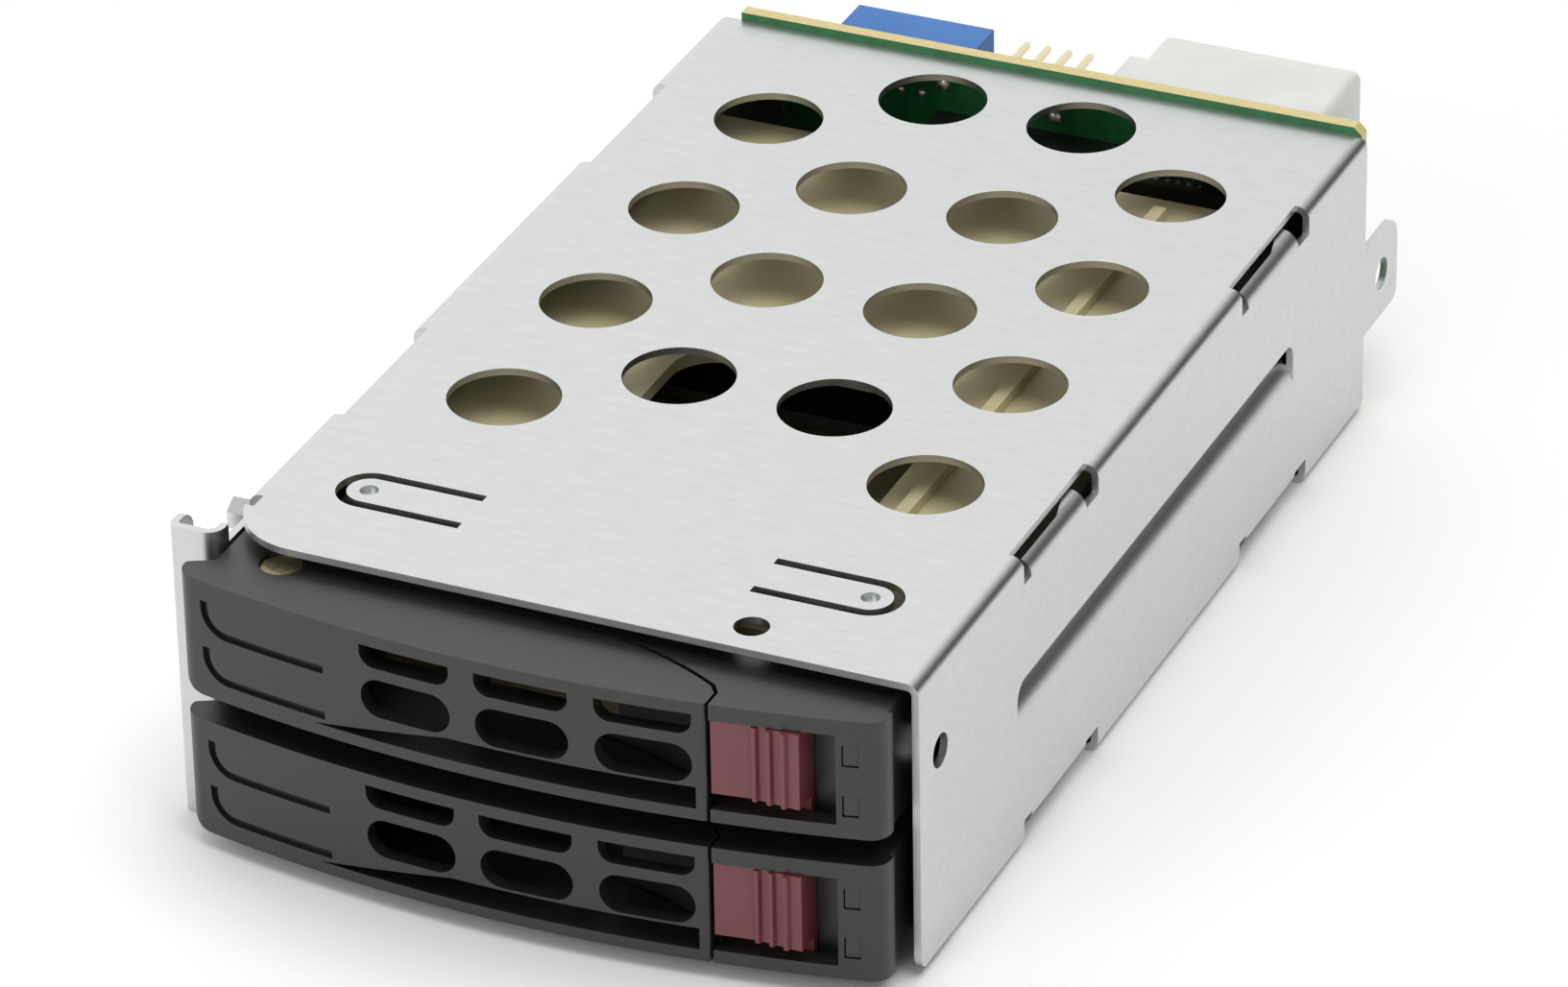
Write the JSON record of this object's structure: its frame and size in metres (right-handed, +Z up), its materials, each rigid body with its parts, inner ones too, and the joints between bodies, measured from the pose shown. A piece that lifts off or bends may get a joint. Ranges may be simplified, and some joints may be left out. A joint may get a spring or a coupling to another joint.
{
  "type": "hot-swap drive cage",
  "caption": "Two-bay cage for 2.5 inch drives: folded steel shell, stacked sliding carriers with swing levers, and a rear backplane with connectors.",
  "frame": {"origin": "middle of the cage's underside, on the floor's outer face", "axes": "+X to the right seen from the front, +Y from the carriers' front to the backplane, +Z up"},
  "size_m": [0.0829, 0.1477, 0.0353],
  "materials": {
    "galvanised_steel": "satin",
    "zinc_steel": "satin",
    "board_green": "gloss",
    "blue_plastic": "satin",
    "black_plastic": "satin",
    "white_plastic": "satin",
    "gold_contact": "polished",
    "tin_contact": "satin",
    "red_plastic": "satin",
    "tan_plastic": "satin",
    "clear_plastic": "clear",
    "lamp_white": "gloss",
    "spring_steel": "bright",
    "brass": "satin",
    "screw_steel": "bright"
  },
  "bodies": {
    "cage": {"cage_shell": "galvanised_steel", "hex_standoff": "zinc_steel", "backplane_board": "board_green", "board_screws": "screw_steel", "upper_signal_connector": "blue_plastic", "lower_signal_connector": "blue_plastic", "pin_header": "white_plastic", "header_pins": "gold_contact", "power_connector": "white_plastic", "power_pins": "tin_contact", "status_leds": "lamp_white", "lower_drive_receptacle": "black_plastic", "lower_receptacle_contacts": "gold_contact", "upper_drive_receptacle": "black_plastic", "upper_receptacle_contacts": "gold_contact"},
    "lower_carrier": {"lower_tray": "black_plastic", "lower_bezel": "black_plastic", "lower_pivot_pin": "brass", "lower_lever_spring": "spring_steel", "lower_button_spring": "spring_steel", "lower_light_pipes": "clear_plastic", "lower_drive_blank": "tan_plastic", "lower_drive_screws": "screw_steel", "lower_bezel_screws": "screw_steel"},
    "lower_lever_body": {"lower_lever": "black_plastic"},
    "lower_button_body": {"lower_release_button": "red_plastic"},
    "upper_carrier": {"upper_tray": "black_plastic", "upper_bezel": "black_plastic", "upper_pivot_pin": "brass", "upper_lever_spring": "spring_steel", "upper_button_spring": "spring_steel", "upper_light_pipes": "clear_plastic", "upper_drive_blank": "tan_plastic", "upper_drive_screws": "screw_steel", "upper_bezel_screws": "screw_steel"},
    "upper_lever_body": {"upper_lever": "black_plastic"},
    "upper_button_body": {"upper_release_button": "red_plastic"}
  },
  "joints": [
    {"name": "lower_carrier_slide", "type": "slide", "parent": "cage", "child": "lower_carrier", "axis": [0, -1, 0], "range_m": [0, 0.105]},
    {"name": "lower_lever_swing", "type": "hinge", "parent": "lower_carrier", "child": "lower_lever_body", "pos_m": [-0.0312, -0.06175, 0.00885], "axis": [0, 0, -1], "range_deg": [0, 16]},
    {"name": "lower_button_press", "type": "slide", "parent": "lower_carrier", "child": "lower_button_body", "axis": [1, 0, 0], "range_m": [0, 0.0016], "stiffness_N_per_m": 250, "deforming": ["lower_button_spring"]},
    {"name": "upper_carrier_slide", "type": "slide", "parent": "cage", "child": "upper_carrier", "axis": [0, -1, 0], "range_m": [0, 0.105]},
    {"name": "upper_lever_swing", "type": "hinge", "parent": "upper_carrier", "child": "upper_lever_body", "pos_m": [-0.0312, -0.06175, 0.02545], "axis": [0, 0, -1], "range_deg": [0, 16]},
    {"name": "upper_button_press", "type": "slide", "parent": "upper_carrier", "child": "upper_button_body", "axis": [1, 0, 0], "range_m": [0, 0.0016], "stiffness_N_per_m": 250, "deforming": ["upper_button_spring"]}
  ]
}
